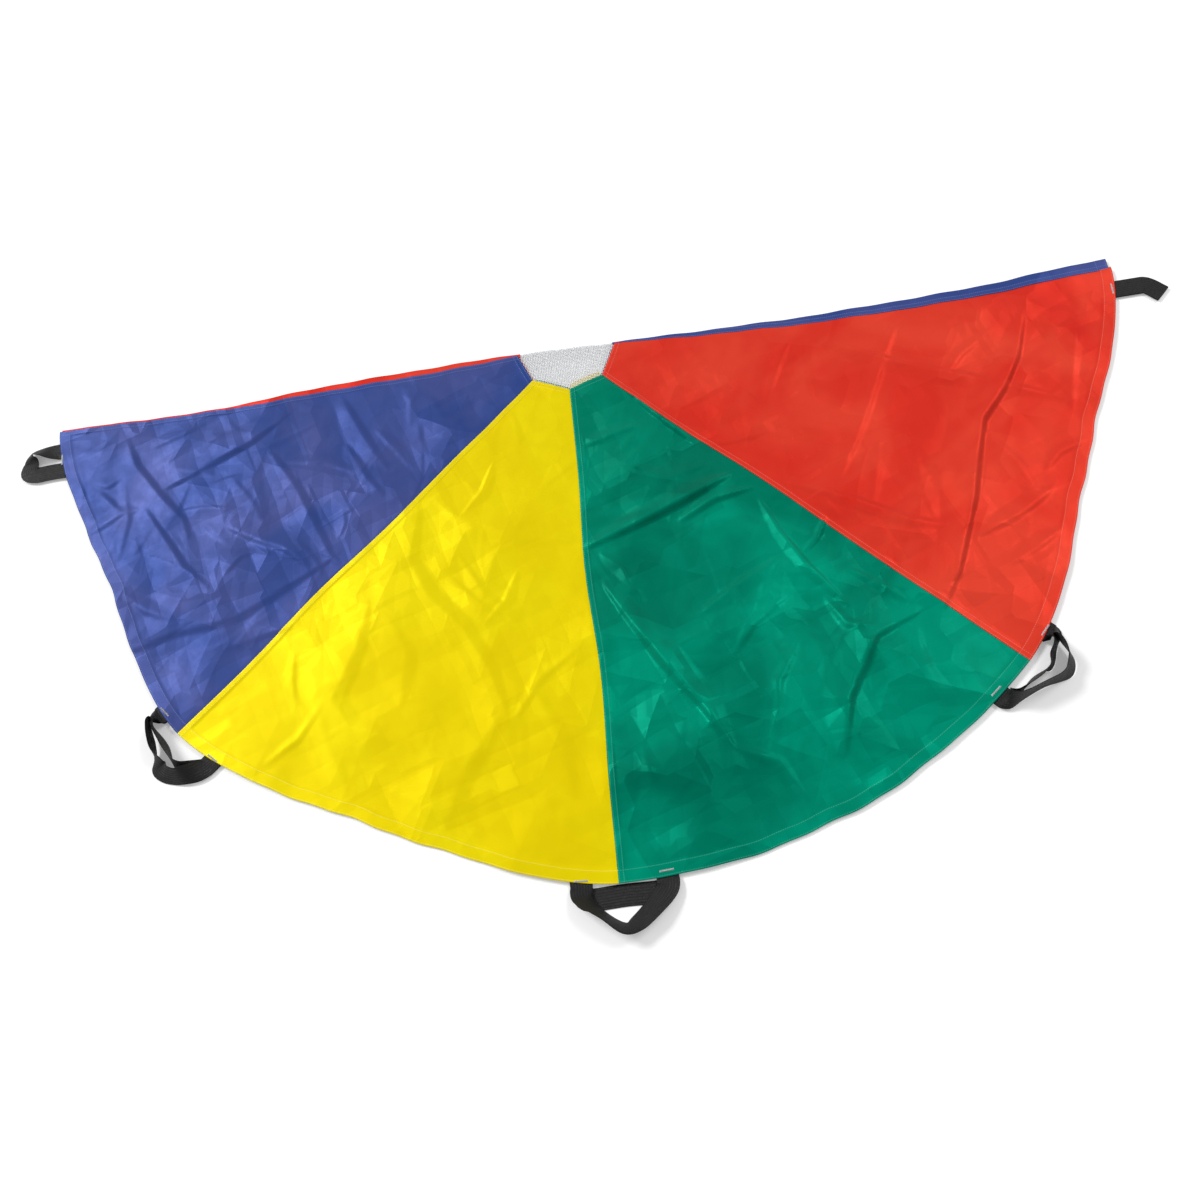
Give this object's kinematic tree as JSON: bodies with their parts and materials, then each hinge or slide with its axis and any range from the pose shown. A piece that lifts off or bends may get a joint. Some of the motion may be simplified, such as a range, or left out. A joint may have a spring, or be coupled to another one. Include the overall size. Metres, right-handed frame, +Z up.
{
  "type": "play parachute",
  "caption": "Play parachute folded in half and laid flat: blue, yellow, green and red nylon gores round a white net crown, with black webbing handles in pairs at the hem",
  "frame": {"origin": "Centre of the bounding box's foot, on the surface that the lower half lies on", "axes": "+X along the fold line to the right, +Y from the front hem back to the fold line, +Z up through the two layers"},
  "size_m": [1.95, 0.997, 0.0353],
  "materials": {
    "blue_cloth": "satin",
    "yellow_cloth": "satin",
    "green_cloth": "satin",
    "red_cloth": "satin",
    "white_net": "matte",
    "black_webbing": "matte"
  },
  "bodies": {
    "lower_half": {"gore_lower_red": "red_cloth", "gore_lower_green": "green_cloth", "gore_lower_yellow": "yellow_cloth", "gore_lower_blue": "blue_cloth", "crown_net_lower": "white_net", "fold_turn_red": "red_cloth", "fold_turn_blue": "blue_cloth", "fold_turn_net": "white_net", "handle_fold_left": "black_webbing", "handle_fold_right": "black_webbing", "sewn_end_lower_left_a": "black_webbing", "sewn_end_lower_left_b": "black_webbing", "sewn_end_lower_front_a": "black_webbing", "sewn_end_lower_front_b": "black_webbing", "sewn_end_lower_right_a": "black_webbing", "sewn_end_lower_right_b": "black_webbing"},
    "upper_half": {"gore_upper_blue": "blue_cloth", "gore_upper_yellow": "yellow_cloth", "gore_upper_green": "green_cloth", "gore_upper_red": "red_cloth", "turned_edge_red": "red_cloth", "turned_edge_blue": "blue_cloth", "crown_net_upper": "white_net", "sewn_end_fold_left": "black_webbing", "sewn_end_fold_right": "black_webbing", "sewn_end_upper_left_a": "black_webbing", "sewn_end_upper_left_b": "black_webbing", "sewn_end_upper_front_a": "black_webbing", "sewn_end_upper_front_b": "black_webbing", "sewn_end_upper_right_a": "black_webbing", "sewn_end_upper_right_b": "black_webbing"},
    "upper_left_handle": {"handle_upper_left": "black_webbing"},
    "lower_left_handle": {"handle_lower_left": "black_webbing"},
    "upper_front_handle": {"handle_upper_front": "black_webbing"},
    "lower_front_handle": {"handle_lower_front": "black_webbing"},
    "upper_right_handle": {"handle_upper_right": "black_webbing"},
    "lower_right_handle": {"handle_lower_right": "black_webbing"}
  },
  "joints": [
    {"name": "half_fold", "type": "hinge", "parent": "lower_half", "child": "upper_half", "pos_m": [-0.00381, 0.49476, 0.00355], "axis": [-1, 0, 0], "range_deg": [0, 180], "deforming": ["fold_turn_red", "fold_turn_blue", "fold_turn_net"]},
    {"name": "upper_left_handle_flop", "type": "hinge", "parent": "upper_half", "child": "upper_left_handle", "pos_m": [-0.65783, -0.11513, 0.0081], "axis": [-0.682, 0.7314, 0], "range_deg": [0, 105]},
    {"name": "lower_left_handle_flop", "type": "hinge", "parent": "lower_half", "child": "lower_left_handle", "pos_m": [-0.65783, -0.11513, 0], "axis": [-0.682, 0.7314, 0], "range_deg": [-105, 0]},
    {"name": "upper_front_handle_flop", "type": "hinge", "parent": "upper_half", "child": "upper_front_handle", "pos_m": [-0.00381, -0.4175, 0.0081], "axis": [-1, 0, 0], "range_deg": [0, 105]},
    {"name": "lower_front_handle_flop", "type": "hinge", "parent": "lower_half", "child": "lower_front_handle", "pos_m": [-0.00381, -0.4175, 0], "axis": [-1, 0, 0], "range_deg": [-105, 0]},
    {"name": "upper_right_handle_flop", "type": "hinge", "parent": "upper_half", "child": "upper_right_handle", "pos_m": [0.60661, -0.18318, 0.0081], "axis": [-0.7431, -0.6691, 0], "range_deg": [0, 105]},
    {"name": "lower_right_handle_flop", "type": "hinge", "parent": "lower_half", "child": "lower_right_handle", "pos_m": [0.60661, -0.18318, 0], "axis": [-0.7431, -0.6691, 0], "range_deg": [-105, 0]}
  ]
}
